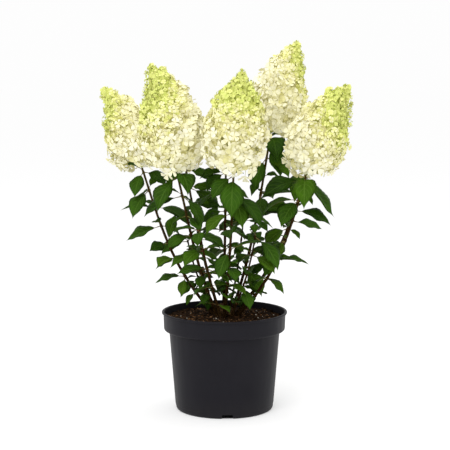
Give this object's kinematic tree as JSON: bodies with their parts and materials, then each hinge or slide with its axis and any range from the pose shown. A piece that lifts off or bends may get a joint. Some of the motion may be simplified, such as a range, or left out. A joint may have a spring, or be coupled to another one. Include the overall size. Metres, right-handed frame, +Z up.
{
  "type": "potted panicle hydrangea shrub",
  "caption": "Panicle hydrangea shrub in a round plastic nursery pot: slender leafy canes rise from bark compost, each tall one ending in a conical cream and lime bloom.",
  "frame": {"origin": "centre of the pot's flat underside, on the surface it stands on", "axes": "+Z up; -Y towards the front of the plant, the side it is mostly seen from; +X to the right of that view"},
  "size_m": [0.5137, 0.3754, 0.7657],
  "materials": {
    "pot": "matt, faintly grained moulded plastic",
    "compost": "rough damp bark and fibre",
    "cane": "smooth young red-brown bark with pale pores",
    "foliage": "soft satin leaf with sunken veins",
    "bloom": "matt velvety petals"
  },
  "bodies": {
    "root": {"pot": "pot", "compost": "compost", "stub_middle": "cane", "stub_front": "cane", "stub_back": "cane", "cane_left": "cane", "cane_front_left": "cane", "cane_back_left": "cane", "cane_front": "cane", "cane_back": "cane", "cane_tall": "cane", "cane_right": "cane", "cane_back_right": "cane", "cane_shoot_front_left": "cane", "cane_shoot_front_right": "cane", "cane_shoot_back": "cane", "cane_shoot_back_left": "cane", "foliage_left": "foliage", "foliage_front_left": "foliage", "foliage_back_left": "foliage", "foliage_front": "foliage", "foliage_back": "foliage", "foliage_tall": "foliage", "foliage_right": "foliage", "foliage_back_right": "foliage", "foliage_shoot_front_left": "foliage", "foliage_shoot_front_right": "foliage", "foliage_shoot_back": "foliage", "foliage_shoot_back_left": "foliage", "bloom_left": "bloom", "bloom_front_left": "bloom", "bloom_back_left": "bloom", "bloom_front": "bloom", "bloom_back": "bloom", "bloom_tall": "bloom", "bloom_right": "bloom", "bloom_back_right": "bloom"}
  },
  "joints": []
}
